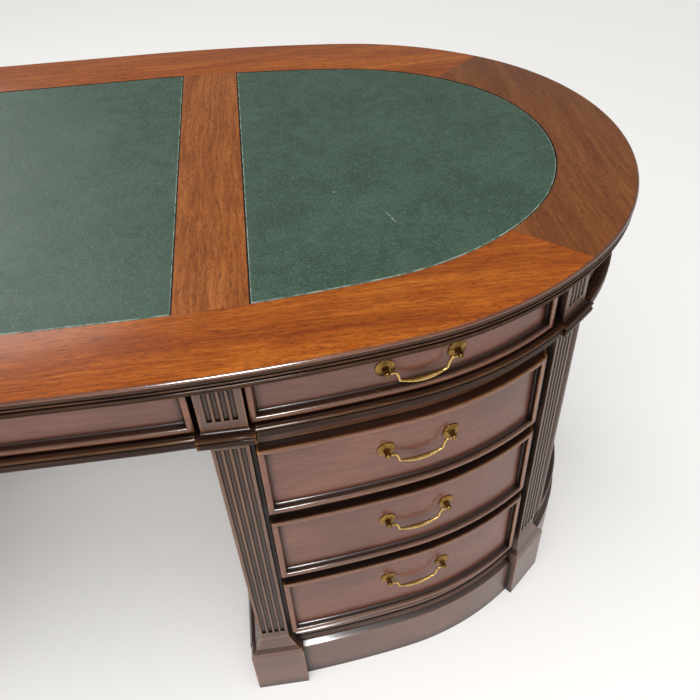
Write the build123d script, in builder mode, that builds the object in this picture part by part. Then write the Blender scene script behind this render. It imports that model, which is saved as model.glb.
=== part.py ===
# Oval pedestal desk: a moulded oval top with three leather panels, a frieze with
# three drawers, and two bow-fronted pedestals with three drawers each between
# fluted pilasters. X runs along the length, Y to the back and Z up. The origin is
# the middle of the footprint on the floor.
from build123d import *
import math
import os

# Whole desk
desk_length = 1980.0
desk_depth = 895.0
desk_height = 780.0

# Plan of the top: a straight run, then a front arc, a shoulder arc and an end arc
straight_share = 0.253535
front_angle = 9.15
shoulder_angle = 41.0
end_radius_share = 0.8916

# Top
border_thickness = 4.0
leather_thickness = 3.7
moulding_height = 26.0
moulding_width = 30.0
border_width = 113.4
border_joint_angle = 40.2
strap_start_share = 0.324848
strap_width = 91.0

# Frieze
frieze_height = 98.0
frieze_floor = 18.5
frieze_wall = 18.0
partition_wall = 18.0
cornice_front = 15.5
cornice_back = 44.0
cap_width = 72.0
cap_front = 12.0
cap_height = 24.0
block_width = 56.5
block_front = 23.5
block_flute_stop = 12.0

# Piers: the pilasters with the blocks above and below them
kneehole_share = 0.323232
pier_setback = 45.6
outer_pier_angle = 41.6
pilaster_width = 47.0
pilaster_front = 28.6
flute_count = 4
flute_pitch = 10.2
flute_radius = 3.5
flute_depth = 2.8
flute_margin = 16.0
flute_top_margin = 20.0

# Plinth
plinth_block_width = 88.4
plinth_block_front = 14.2
plinth_face_height = 110.0
plinth_height = 150.0
skirt_front = 25.0
skirt_thickness = 24.0
skirt_height = 127.0

# Pedestal carcass
carcass_front = 40.0
carcass_wall = 18.0
rail_depth = 50.0
runner_width = 22.0
lid_thickness = 18.0
top_rail_height = 32.0
seam = 0.3

# Drawers
drawer_setback = 30.4
kneehole_drawer_margin = 6.85
outer_block_margin = 3.1
end_block_margin = 3.7
side_gap = 2.0
frieze_drawer_height = 74.5
drawer_height_shares = (0.3128, 0.3318, 0.3554)
drawer_gap = 22.0
rail_gap = 1.0
frame_front = 24.0
field_front = 34.0
board_back = 52.0
frame_width = 9.0
frame_slope = 2.6
frame_round = 2.4
box_wall = 10.0
box_floor = 8.0
box_inset = 9.0
box_drop = 8.0
glue_line = 0.1
drawer_depth_share = 0.6257

# Handles
post_spacing = 94.0
post_turn_share = 0.5
handle_place_share = 0.5252
handle_height_shares = (0.572, 0.557, 0.587)
frieze_handle_height_share = 0.537
plate_radius = 12.8
plate_rim = 1.2
boss_radius = 6.0
boss_height = 3.6
neck_radius = 3.3
ball_radius = 4.4
pin_standoff = 12.0
pin_radius = 1.8
pin_clearance = 0.05
pin_reach = 3.2
neck_place = 36.5
bail_drop = 22.0
bail_bend = 4.0
bar_half = 31.5
bar_bow = 6.5
bar_end_radius = 1.1
bar_radius = 3.3
bar_steps = 10

overrun = 5.0
touch = 0.01

# Sizes that follow from the ones above
half_length = desk_length / 2
half_depth = desk_depth / 2
end_radius = end_radius_share * half_depth
straight_half = straight_share * half_length
strap_start = strap_start_share * half_length
top_underside = desk_height - border_thickness - moulding_height
frieze_bottom = top_underside - frieze_height
cornice_top = frieze_bottom + frieze_floor
kneehole_half = kneehole_share * half_length
inner_pier_place = kneehole_half + pier_setback
inner_wall = inner_pier_place - pilaster_width / 2
plinth_side_run = inner_wall - kneehole_half
board_top = desk_height - border_thickness
drawer_depth = drawer_depth_share * desk_depth
drawer_left = inner_pier_place + drawer_setback
kneehole_drawer_half = inner_pier_place - block_width / 2 - kneehole_drawer_margin

os.makedirs("parts", exist_ok=True)


def sine(angle):
    return math.sin(math.radians(angle))


def cosine(angle):
    return math.cos(math.radians(angle))


# The front and shoulder radii that make the three arcs meet the length and depth
along = half_length - straight_half - end_radius * (1 - sine(shoulder_angle))
across = half_depth - end_radius * cosine(shoulder_angle)
arc_matrix = (
    (sine(front_angle), sine(shoulder_angle) - sine(front_angle)),
    (1 - cosine(front_angle), cosine(front_angle) - cosine(shoulder_angle)),
)
determinant = arc_matrix[0][0] * arc_matrix[1][1] - arc_matrix[0][1] * arc_matrix[1][0]
front_radius = (along * arc_matrix[1][1] - across * arc_matrix[0][1]) / determinant
shoulder_radius = (across * arc_matrix[0][0] - along * arc_matrix[1][0]) / determinant

# Each arc of a quarter: its first and last angle, centre and radius
front_centre = (straight_half, front_radius - half_depth)
shoulder_centre = (
    front_centre[0] + (front_radius - shoulder_radius) * sine(front_angle),
    front_centre[1] - (front_radius - shoulder_radius) * cosine(front_angle),
)
end_centre = (half_length - end_radius, 0)
quarter_arcs = (
    (0, front_angle, front_centre, front_radius),
    (front_angle, shoulder_angle, shoulder_centre, shoulder_radius),
    (shoulder_angle, 90, end_centre, end_radius),
)


# A point of the front right quarter, by the angle that its normal turns from the front
def arc_point(arc, angle, inset):
    centre, radius = arc[2], arc[3] - inset
    return centre[0] + radius * sine(angle), centre[1] - radius * cosine(angle)


def oval_point(angle, inset):
    for arc in quarter_arcs:
        if angle <= arc[1]:
            return arc_point(arc, angle, inset)


# The angle that an inset oval's front turns away at one place along the length
def front_turn(place, inset):
    if abs(place) <= straight_half:
        return 0
    for arc in quarter_arcs:
        if abs(place) <= arc_point(arc, arc[1], inset)[0]:
            turn = math.degrees(math.asin((abs(place) - arc[2][0]) / (arc[3] - inset)))
            return math.copysign(turn, place)


# How far forward the front of an inset oval lies at one place along the length
def front_y(place, inset):
    return oval_point(abs(front_turn(place, inset)), inset)[1]


def oval_lines(inset):
    for side in (1, -1):
        y = side * (inset - half_depth)
        Line((-straight_half, y), (straight_half, y))
        for end in (1, -1):
            for arc in quarter_arcs:
                middle = (arc[0] + arc[1]) / 2
                points = [arc_point(arc, angle, inset) for angle in (arc[0], middle, arc[1])]
                ThreePointArc(*[(end * x, side * y) for x, y in points])


def draw_oval(inset, mode=Mode.ADD):
    with BuildLine() as outline:
        oval_lines(inset)
    make_face(outline.edges(), mode=mode)


# A rectangle by its two corners
def draw_window(left, right, near, far, mode=Mode.ADD):
    with Locations(((left + right) / 2, (near + far) / 2)):
        Rectangle(right - left, far - near, mode=mode)


# The strip of the front between two insets and two places along the length
def draw_front_band(outer, inner, left, right):
    draw_oval(outer)
    draw_oval(inner, mode=Mode.SUBTRACT)
    draw_window(left, right, -desk_depth, 0, mode=Mode.INTERSECT)


# A pier's plane: x along the wall, y inward from the outline
def pier_plane(pier, height):
    if pier == "inner":
        return Plane(origin=(inner_pier_place, -half_depth, height), x_dir=(1, 0, 0))
    x, y = oval_point(outer_pier_angle, 0)
    direction = (cosine(outer_pier_angle), sine(outer_pier_angle), 0)
    return Plane(origin=(x, y, height), x_dir=direction)


piers = ("inner", "outer")

# The drawers and the end panels stop short of the outer piers' blocks
outer_pier = pier_plane("outer", 0)
block_near = outer_pier.from_local_coords((-block_width / 2, cornice_back, 0))
block_far = outer_pier.from_local_coords((block_width / 2, cornice_back, 0))
drawer_right = block_near.X - outer_block_margin
end_panel_half = -block_far.Y - end_block_margin
handle_place = drawer_left + handle_place_share * (drawer_right - drawer_left)


def draw_pier(width, front, back, mode=Mode.ADD):
    draw_window(-width / 2, width / 2, front, back, mode=mode)


def save(part, name):
    part.label = name
    export_step(part, "parts/" + name + ".step")


# Writes a part of the right half, and its mirror image as the left one
def save_pair(part, name):
    save(part, "right_" + name)
    with BuildPart() as twin:
        mirror(part, about=Plane.YZ)
    save(twin.part, "left_" + name)


# Top: the board, the moulding round it, the veneered borders and the leather
with BuildPart() as top_board:
    with BuildSketch(Plane.XY.offset(top_underside)):
        draw_oval(moulding_width)
    extrude(amount=moulding_height)
save(top_board.part, "top_board")

# Moulding section as (inset, height) shares of its own depth and height
edge_shares = (
    (0.02, 1.0), (0.0, 0.93), (0.015, 0.82), (0.05, 0.74), (0.085, 0.70), (0.05, 0.65),
    (0.045, 0.58), (0.07, 0.53), (0.12, 0.47), (0.12, 0.44), (0.06, 0.41), (0.04, 0.34),
    (0.055, 0.28), (0.10, 0.24), (0.13, 0.22), (0.13, 0.14), (0.18, 0.0),
)


# The plane across a moulding at the middle of the front: x outward, y up
section_plane = Plane(origin=(0, -half_depth, 0), x_dir=(0, -1, 0), z_dir=(-1, 0, 0))


# A moulding's section by its shares of inset and height, closed by a straight back
def draw_section(shares, front, depth, back, bottom, height):
    points = [(-front - share[0] * depth, bottom + share[1] * height) for share in shares]
    with BuildLine() as outline:
        Polyline(*points, (-back, bottom), (-back, bottom + height), close=True)
    make_face(outline.edges())


with BuildPart() as edge_moulding:
    with BuildLine():
        oval_lines(0)
    with BuildSketch(section_plane):
        draw_section(edge_shares, 0, moulding_width, moulding_width, top_underside, moulding_height)
    sweep()
save(edge_moulding.part, "edge_moulding")

joint_outer = oval_point(border_joint_angle, 0)
joint_inner = oval_point(border_joint_angle, border_width)
joint_run = (joint_outer[0] - joint_inner[0], joint_outer[1] - joint_inner[1])
joint_near = tuple(inner - run for inner, run in zip(joint_inner, joint_run))
joint_far = tuple(outer + run for outer, run in zip(joint_outer, joint_run))


# The part of the border beyond the slanting joints of one end
def draw_end_sector(end, mode):
    with BuildLine() as outline:
        points = [joint_near, joint_far, (desk_length, joint_far[1])]
        points += [(x, -y) for x, y in reversed(points)]
        Polyline(*[(end * x, y) for x, y in points], close=True)
    make_face(outline.edges(), mode=mode)


def draw_border():
    draw_oval(0)
    draw_oval(border_width, mode=Mode.SUBTRACT)


with BuildPart() as border_ends:
    for end in (1, -1):
        with BuildSketch(Plane.XY.offset(board_top)):
            draw_border()
            draw_end_sector(end, Mode.INTERSECT)
        extrude(amount=border_thickness)
save(border_ends.part, "border_ends")

with BuildPart() as long_borders:
    with BuildSketch(Plane.XY.offset(board_top)):
        draw_border()
        for end in (1, -1):
            draw_end_sector(end, Mode.SUBTRACT)
    extrude(amount=border_thickness)
save(long_borders.part, "long_borders")


# A piece of the field inside the border, between two places along the length
def draw_field(left, right):
    draw_oval(border_width)
    draw_window(left, right, -desk_depth, desk_depth, mode=Mode.INTERSECT)


strap_end = strap_start + strap_width
with BuildPart() as cross_straps:
    for left in (strap_start, -strap_end):
        with BuildSketch(Plane.XY.offset(board_top)):
            draw_field(left, left + strap_width)
        extrude(amount=border_thickness)
save(cross_straps.part, "cross_straps")

with BuildPart() as leather_centre:
    with BuildSketch(Plane.XY.offset(board_top)):
        draw_field(-strap_start, strap_start)
    extrude(amount=leather_thickness)
save(leather_centre.part, "leather_centre")

with BuildPart() as leather_ends:
    for left, right in ((strap_end, desk_length), (-desk_length, -strap_end)):
        with BuildSketch(Plane.XY.offset(board_top)):
            draw_field(left, right)
        extrude(amount=leather_thickness)
save(leather_ends.part, "leather_ends")

# Cornice round the foot of the frieze: a fillet, a bead, a quirk and a rounded band
cornice_shares = (
    (0.30, 1.0), (0.26, 0.97), (0.05, 0.95), (0.0, 0.90), (0.0, 0.80), (0.05, 0.74),
    (0.12, 0.72), (0.12, 0.64), (0.05, 0.60), (0.02, 0.52), (0.02, 0.16), (0.08, 0.04), (0.14, 0.0),
)
cornice_relief_share = 0.6
cornice_depth = cornice_relief_share * (cornice_back - cornice_front)


with BuildPart() as cap_space:
    for pier in piers:
        with BuildSketch(pier_plane(pier, frieze_bottom)):
            draw_pier(cap_width, cap_front, cornice_back + overrun)
    extrude(amount=cap_height)
    mirror(about=Plane.XZ)
    mirror(about=Plane.YZ)

with BuildPart() as frieze_cornice:
    with BuildLine():
        oval_lines(0)
    with BuildSketch(section_plane):
        draw_section(cornice_shares, cornice_front, cornice_depth, cornice_back, frieze_bottom,
                     frieze_floor)
    sweep()
    add(cap_space.part, mode=Mode.SUBTRACT)
save(frieze_cornice.part, "frieze_cornice")

# Caps break forward over the pilasters: rounded band, quirk, bead and a sloped shoulder
cap_step_share = 0.72
cap_band_share = 0.44
cap_quirk_share = 0.50
cap_quirk = 2.0
shoulder_width = 59.5


def cap_layer(pier, low_share, high_share, setback):
    with BuildSketch(pier_plane(pier, frieze_bottom + low_share * cap_height)) as layer:
        draw_pier(cap_width - 2 * setback, cap_front + setback, cornice_back)
    extrude(layer.sketch, amount=(high_share - low_share) * cap_height)


with BuildPart() as frieze_caps:
    for pier in piers:
        cap_layer(pier, 0, cap_band_share, 0)
        cap_layer(pier, cap_band_share, cap_quirk_share, cap_quirk)
        cap_layer(pier, cap_quirk_share, cap_step_share, 0)
        with BuildSketch(pier_plane(pier, frieze_bottom + cap_step_share * cap_height)):
            draw_pier(shoulder_width, cap_front + cap_quirk / 2, cornice_back)
        with BuildSketch(pier_plane(pier, frieze_bottom + cap_height)):
            draw_pier(block_width, block_front, cornice_back)
        loft(ruled=True)
    with BuildSketch(Plane.XY.offset(frieze_bottom)):
        draw_oval(cornice_back)
    extrude(amount=cap_height, mode=Mode.SUBTRACT)
    mirror(about=Plane.XZ)
    mirror(about=Plane.YZ)
save(frieze_caps.part, "frieze_caps")


# Flutes cut in a pier's face: round-bottomed grooves side by side
def cut_flutes(pier, front, low, high):
    with BuildSketch(pier_plane(pier, low)) as grooves:
        with Locations((0, front + flute_depth - flute_radius)):
            with GridLocations(flute_pitch, flute_pitch, flute_count, 1):
                Circle(flute_radius)
    extrude(grooves.sketch, amount=high - low, mode=Mode.SUBTRACT)


with BuildPart() as frieze_blocks:
    block_bottom = frieze_bottom + cap_height
    for pier in piers:
        with BuildSketch(pier_plane(pier, block_bottom)):
            draw_pier(block_width, block_front, cornice_back + overrun)
        extrude(amount=top_underside - block_bottom)
        cut_flutes(pier, block_front, block_bottom + block_flute_stop, top_underside)
    with BuildSketch(Plane.XY.offset(block_bottom)):
        draw_oval(cornice_back)
    extrude(amount=top_underside - block_bottom, mode=Mode.SUBTRACT)
    mirror(about=Plane.XZ)
    mirror(about=Plane.YZ)
save(frieze_blocks.part, "frieze_blocks")


# Frieze carcass: floor, outer wall with three openings, and the partitions between drawers
block_left = inner_pier_place - block_width / 2
block_right = inner_pier_place + block_width / 2
frieze_back_board = drawer_depth - half_depth + board_back

with BuildPart() as frieze_carcass:
    with BuildSketch(Plane.XY.offset(frieze_bottom)):
        draw_oval(cornice_back)
    extrude(amount=frieze_floor)
    with BuildSketch(Plane.XY.offset(cornice_top)):
        draw_oval(cornice_back)
        draw_oval(cornice_back + frieze_wall, mode=Mode.SUBTRACT)
        draw_window(-kneehole_drawer_half - side_gap, kneehole_drawer_half + side_gap,
                    -desk_depth, 0, mode=Mode.SUBTRACT)
        for end in (1, -1):
            near, far = sorted((end * (drawer_left - side_gap), end * (drawer_right + side_gap)))
            draw_window(near, far, -desk_depth, 0, mode=Mode.SUBTRACT)
    extrude(amount=top_underside - cornice_top)
    with BuildSketch(Plane.XY.offset(cornice_top)):
        for end in (1, -1):
            for place in (block_left, drawer_left - side_gap - partition_wall,
                          drawer_right + side_gap):
                near, far = sorted((end * place, end * (place + partition_wall)))
                draw_window(near, far, -half_depth, frieze_back_board + seam)
        draw_window(-half_length, half_length, frieze_back_board + seam,
                    frieze_back_board + seam + partition_wall)
        draw_oval(cornice_back + touch, mode=Mode.INTERSECT)
    extrude(amount=top_underside - cornice_top)
save(frieze_carcass.part, "frieze_carcass")


# Where a sunk field's sloping sides start and end, in from the edges of the front
field_margin = frame_width + frame_slope


# The ends of a sunk field in plan: slanting lines through the frame's inner arrises
def draw_field_window(left, right):
    corners = []
    for place, side in ((left, 1), (right, -1)):
        arris_place = place + side * frame_width
        foot_place = place + side * field_margin
        arris_y = front_y(arris_place, frame_front)
        foot_y = front_y(foot_place, field_front)
        corners.append((arris_place - (foot_place - arris_place), 2 * arris_y - foot_y))
        corners.append((foot_place, foot_y))
    outer_left, foot_left, outer_right, foot_right = corners
    with BuildLine() as outline:
        Polyline((outer_left[0], -desk_depth), outer_left, foot_left, (foot_left[0], 0),
                 (foot_right[0], 0), foot_right, outer_right, (outer_right[0], -desk_depth),
                 close=True)
    make_face(outline.edges())


# The hollow of a sunk field: sloping sides all round, bowed with the front
def field_hollow(left, right, bottom, top):
    reach = frame_front - field_front
    low, high = bottom + frame_width, top - frame_width
    with BuildPart() as hollow:
        with BuildLine() as route:
            Line((0, -half_depth), (straight_half, -half_depth))
            for arc in quarter_arcs[:2]:
                middle = (arc[0] + arc[1]) / 2
                ThreePointArc(*[arc_point(arc, angle, 0) for angle in (arc[0], middle, arc[1])])
        with BuildSketch(section_plane):
            with BuildLine() as outline:
                Polyline((-field_front, low + frame_slope), (-frame_front - reach, low - frame_slope),
                         (-frame_front - reach, high + frame_slope), (-field_front, high - frame_slope),
                         close=True)
            make_face(outline.edges())
        sweep(path=route.line)
        if left < 0:
            mirror(about=Plane.YZ)
        with BuildSketch():
            draw_field_window(left, right)
        extrude(amount=desk_height, mode=Mode.INTERSECT)
    return hollow.part


# Whether an edge bounds the bowed face of a front, between its sides left and right
def is_rim(edge, left, right):
    x, y, z = edge.position_at(0.5)
    at_side = min(x - left, right - x) < touch
    return y < front_y(x, frame_front) + touch and (at_side or edge.tangent_at(0.5).Z == 0)


# Framed front: a bowed board with a raised frame, rounded outside, and a sunk field
def framed_front(left, right, bottom, top, back):
    hollow = field_hollow(left, right, bottom, top)
    with BuildPart() as front:
        with BuildSketch(Plane.XY.offset(bottom)):
            draw_front_band(frame_front, back, left, right)
        extrude(amount=top - bottom)
        fillet([edge for edge in front.edges() if is_rim(edge, left, right)], radius=frame_round)
        add(hollow, mode=Mode.SUBTRACT)
    return front.part


# Drawer box of four boards: two sides, a bottom between them and a back that stands on it
def drawer_box(left, right, bottom, top):
    box_left = left + box_inset
    box_right = right - box_inset
    inner_left = box_left + box_wall + glue_line
    inner_right = box_right - box_wall - glue_line
    box_bottom = bottom - rail_gap + seam
    back_bottom = box_bottom + box_floor + glue_line
    box_top = top - box_drop
    back = drawer_depth - half_depth + board_back
    with BuildPart() as box:
        with BuildSketch(Plane.XY.offset(box_bottom)):
            draw_window(box_left, box_left + box_wall, -half_depth, back)
            draw_window(box_right - box_wall, box_right, -half_depth, back)
            draw_oval(board_back, mode=Mode.INTERSECT)
        extrude(amount=box_top - box_bottom)
        with BuildSketch(Plane.XY.offset(box_bottom)):
            draw_window(inner_left, inner_right, -half_depth, back)
            draw_oval(board_back, mode=Mode.INTERSECT)
        extrude(amount=box_floor)
        with BuildSketch(Plane.XY.offset(back_bottom)):
            draw_window(inner_left, inner_right, back - box_wall, back)
        extrude(amount=box_top - back_bottom)
    return box.part


# A plane on the field at one place: x along it, y up and z outward, turned by a share of the
# angle that the field turns there
def field_plane(place, height, turn_share):
    turn = turn_share * front_turn(place, field_front)
    return Plane(origin=(place, front_y(place, field_front), height),
                 x_dir=(cosine(turn), sine(turn), 0), z_dir=(sine(turn), -cosine(turn), 0))


# The places of a handle's two posts along the length
def post_places(place):
    half_run = post_spacing / 2 * cosine(front_turn(place, field_front))
    return [place - half_run, place + half_run]


def ball_middles(place, height):
    return [field_plane(x, height, post_turn_share).from_local_coords((0, 0, pin_standoff))
            for x in post_places(place)]


# A handle's plane: x through the middles of its two balls, y up and z outward
def handle_plane(place, height):
    left_ball, right_ball = ball_middles(place, height)
    run = right_ball - left_ball
    return Plane(origin=(left_ball + right_ball) / 2, x_dir=run, z_dir=(run.Y, -run.X, 0))


# How far behind a ball's middle the neck runs into it
ball_seat = math.sqrt(ball_radius ** 2 - neck_radius ** 2)


# Spins a half section about the upright of a plane on the field
def spin_section(plane, points, domed):
    with BuildSketch(Plane(origin=plane.origin, x_dir=plane.y_dir, z_dir=plane.x_dir)) as half:
        with BuildLine() as outline:
            side = Polyline((0, -boss_height), *points)
            if domed:
                ball = ThreePointArc(side @ 1, (ball_radius, pin_standoff),
                                     (0, pin_standoff + ball_radius))
                Line(ball @ 1, side @ 0)
            else:
                Polyline(side @ 1, (0, boss_height), side @ 0)
        make_face(outline.edges())
    revolve(half.sketch, axis=Axis(plane.origin, plane.z_dir))


# Two posts: a dished plate on the field, a tapering boss and a ball bored for the bail's pin
def handle_posts(place, height):
    pin_line = handle_plane(place, height).x_dir
    with BuildPart() as posts:
        for x, ball, side in zip(post_places(place), ball_middles(place, height), (-1, 1)):
            spin_section(field_plane(x, height, 1),
                         [(plate_radius, -boss_height), (plate_radius, plate_rim),
                          (boss_radius, boss_height)], False)
            spin_section(field_plane(x, height, post_turn_share),
                         [(boss_radius, -boss_height), (boss_radius, 0),
                          (neck_radius, pin_standoff - ball_seat)], True)
            bore = Plane(origin=ball + pin_line * side * pin_reach, z_dir=pin_line * -side)
            with BuildSketch(bore):
                Circle(pin_radius + pin_clearance)
            extrude(amount=ball_radius + pin_reach, mode=Mode.SUBTRACT)
        with BuildSketch(Plane.XY.offset(height - plate_radius - overrun)):
            draw_oval(field_front)
        extrude(amount=2 * (plate_radius + overrun), mode=Mode.SUBTRACT)
    return posts.part


# Sections of a bail's bowed bar, from its thin left end through its thick middle to the right
def bar_sections(plane):
    sections = []
    for step in range(bar_steps + 1):
        share = 2 * step / bar_steps - 1
        middle = plane.from_local_coords((share * bar_half, share ** 2 * bar_bow - bail_drop, 0))
        slope = 2 * share * bar_bow / bar_half
        along_bar = Plane(origin=middle, x_dir=plane.z_dir, z_dir=plane.x_dir + plane.y_dir * slope)
        with BuildSketch(along_bar) as section:
            Circle(bar_radius - share ** 2 * (bar_radius - bar_end_radius))
        sections.append(section.sketch)
    return sections


# Swan-necked bail: two pins, two S-shaped necks and a bowed bar
def handle_bail(place, height):
    plane = handle_plane(place, height)
    left_ball, right_ball = ball_middles(place, height)
    reach = (right_ball - left_ball).length / 2 + pin_reach - pin_clearance
    neck_foot = bar_bow - bail_drop
    next_share = 1 - 2 / bar_steps
    neck_points = [(reach, 0), (neck_place, 0),
                   ((neck_place + 2 * bar_half) / 3, neck_foot / 2), (bar_half, neck_foot),
                   (next_share * bar_half, next_share ** 2 * bar_bow - bail_drop)]
    sections = bar_sections(plane)
    with BuildPart() as bail:
        loft(sections, ruled=True)
        for side in (-1, 1):
            corners = [plane.from_local_coords((side * x, y, 0)) for x, y in neck_points]
            with BuildLine() as route:
                FilletPolyline(*corners, radius=bail_bend)
            with BuildSketch(Plane(origin=route.line @ 0, z_dir=route.line % 0)):
                Circle(pin_radius)
            sweep(path=route.line)
    return bail.part


# All that one drawer is made of, by its name, place, heights and box depth
def save_drawer(name, parts):
    for piece, part in parts.items():
        save(part, name + "_" + piece)


def drawer_parts(left, right, bottom, top, place, height):
    return {
        "front": framed_front(left, right, bottom, top, board_back),
        "box": drawer_box(left, right, bottom, top),
        "posts": handle_posts(place, height),
        "bail": handle_bail(place, height),
    }


frieze_drawer_bottom = cornice_top + rail_gap
frieze_drawer_top = frieze_drawer_bottom + frieze_drawer_height
frieze_handle_height = frieze_drawer_bottom + frieze_handle_height_share * frieze_drawer_height
save_drawer("kneehole_drawer", drawer_parts(-kneehole_drawer_half, kneehole_drawer_half,
            frieze_drawer_bottom, frieze_drawer_top, 0, frieze_handle_height))

# The three drawers of a pedestal share the height between the plinth and the top rail
lowest_drawer_bottom = plinth_height + 2 * rail_gap
highest_drawer_top = frieze_bottom - top_rail_height - 2 * rail_gap
shared_height = highest_drawer_top - lowest_drawer_bottom - 2 * drawer_gap
drawer_levels = [("frieze_drawer", frieze_drawer_bottom, frieze_drawer_top,
                  frieze_handle_height)]
level = lowest_drawer_bottom
drawer_bottoms = []
for number in (3, 2, 1):
    height = drawer_height_shares[number - 1] * shared_height
    handle_height = level + handle_height_shares[number - 1] * height
    drawer_levels.append(("drawer_" + str(number), level, level + height, handle_height))
    drawer_bottoms.append(level)
    level += height + drawer_gap
upper_drawer_top = level - drawer_gap

for name, bottom, top, handle_height in drawer_levels:
    pieces = drawer_parts(drawer_left, drawer_right, bottom, top, handle_place, handle_height)
    for piece, part in pieces.items():
        save_pair(part, name + "_" + piece)

# Pedestal carcass: walls, floor, lid, stiles and a dust frame under each drawer
well_back = drawer_depth - half_depth + board_back + seam
with BuildPart() as carcass:
    with BuildSketch(Plane.XY.offset(skirt_height)):
        draw_oval(carcass_front)
        draw_window(inner_wall, desk_length, -desk_depth, desk_depth, mode=Mode.INTERSECT)
    extrude(amount=frieze_bottom - skirt_height)
    hollow_bottom = drawer_bottoms[0] - rail_gap
    hollow_top = frieze_bottom - lid_thickness
    with BuildSketch(Plane.XY.offset(hollow_bottom)):
        draw_oval(carcass_front + carcass_wall)
        draw_window(inner_wall + carcass_wall, desk_length, -desk_depth, desk_depth,
                    mode=Mode.INTERSECT)
        draw_window(inner_wall, drawer_left - side_gap, -desk_depth,
                    rail_depth - half_depth + carcass_front, mode=Mode.SUBTRACT)
        draw_window(drawer_right + side_gap, drawer_right + side_gap + carcass_wall,
                    -desk_depth, desk_depth, mode=Mode.SUBTRACT)
        draw_window(drawer_left - side_gap, drawer_right + side_gap, -desk_depth, 0)
    extrude(amount=hollow_top - hollow_bottom, mode=Mode.SUBTRACT)
    for bottom in drawer_bottoms[1:] + [level]:
        with BuildSketch(Plane.XY.offset(bottom - drawer_gap + rail_gap)):
            draw_window(inner_wall + carcass_wall, drawer_right + side_gap, -desk_depth, well_back)
            draw_oval(carcass_front, mode=Mode.INTERSECT)
            draw_window(drawer_left + runner_width, drawer_right - runner_width,
                        rail_depth - half_depth + carcass_front, well_back - runner_width,
                        mode=Mode.SUBTRACT)
        extrude(amount=drawer_gap - 2 * rail_gap)
    with BuildSketch(Plane.XY.offset(upper_drawer_top + rail_gap)):
        draw_window(inner_wall + carcass_wall, drawer_right + side_gap, -desk_depth,
                    rail_depth - half_depth + carcass_front)
        draw_oval(carcass_front, mode=Mode.INTERSECT)
    extrude(amount=frieze_bottom - upper_drawer_top - rail_gap)
save_pair(carcass.part, "carcass")

# Pilasters: fluted strips that stand on the plinth blocks and carry the caps
with BuildPart() as pilasters:
    for pier in piers:
        with BuildSketch(pier_plane(pier, plinth_height)):
            draw_pier(pilaster_width, pilaster_front, carcass_front + overrun)
        extrude(amount=frieze_bottom - plinth_height)
        cut_flutes(pier, pilaster_front, plinth_height + flute_margin,
                   frieze_bottom - flute_top_margin)
    with BuildSketch(Plane.XY.offset(plinth_height)):
        draw_oval(carcass_front)
    extrude(amount=frieze_bottom - plinth_height, mode=Mode.SUBTRACT)
    mirror(about=Plane.XZ)
save_pair(pilasters.part, "pilasters")

# Plinth: a skirt that follows the bow, a straight side to the kneehole, and blocks
skirt_shares = (
    (0.62, 1.0), (0.50, 0.985), (0.46, 0.95), (0.52, 0.93), (0.40, 0.925), (0.28, 0.90),
    (0.30, 0.86), (0.42, 0.845), (0.42, 0.83), (0.34, 0.81), (0.10, 0.775), (0.0, 0.764), (0.0, 0.0),
)
# The blocks' top moulding as (height, run) shares: a small step, an ovolo and a slope
block_shares = ((0, 0), (0.05, 0.06), (0.22, 0.16), (0.36, 0.42), (0.40, 0.50), (0.90, 1.0), (1, 1))
moulding_rise = plinth_height - plinth_face_height
front_run = pilaster_front - plinth_block_front
side_run = (plinth_block_width - pilaster_width) / 2


# A closed section of the straight side, from the kneehole face to the carcass wall
def draw_side_section():
    points = [(kneehole_half + share[1] * plinth_side_run,
               plinth_face_height + share[0] * moulding_rise) for share in block_shares[:-1]]
    back = inner_wall + skirt_thickness
    with BuildLine() as outline:
        Polyline((kneehole_half, 0), *points, (inner_wall, skirt_height), (back, skirt_height),
                 (back, 0), close=True)
    make_face(outline.edges())


# A plinth block: a plain base and the moulding that steps back to the pilaster
def plinth_block(pier):
    block_back = carcass_front + skirt_thickness
    with BuildSketch(pier_plane(pier, 0)) as base:
        draw_pier(plinth_block_width, plinth_block_front, block_back)
    extrude(base.sketch, amount=plinth_face_height)
    sections = []
    for height_share, run_share in block_shares:
        height = plinth_face_height + height_share * moulding_rise
        with BuildSketch(pier_plane(pier, height)) as section:
            draw_pier(plinth_block_width - 2 * run_share * side_run,
                      plinth_block_front + run_share * front_run, block_back)
        sections.append(section.sketch)
    loft(sections, ruled=True)


side_length = 2 * (half_depth - carcass_front)
with BuildPart() as plinth:
    with BuildLine():
        oval_lines(0)
    with BuildSketch(section_plane):
        draw_section(skirt_shares, skirt_front, skirt_thickness, skirt_front + skirt_thickness, 0,
                     skirt_height)
    sweep()
    with BuildSketch():
        draw_window(-desk_length, inner_pier_place, -desk_depth, desk_depth)
    extrude(amount=skirt_height, mode=Mode.SUBTRACT)
    with BuildSketch(Plane.XZ.offset(side_length / 2)):
        draw_side_section()
    extrude(amount=-side_length)
    for pier in piers:
        plinth_block(pier)
    mirror(about=Plane.XZ)
    with BuildSketch(Plane.XY.offset(skirt_height)):
        draw_oval(carcass_front)
        draw_window(inner_wall, desk_length, -desk_depth, desk_depth, mode=Mode.INTERSECT)
    extrude(amount=plinth_height - skirt_height, mode=Mode.SUBTRACT)
save_pair(plinth.part, "plinth")


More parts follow.
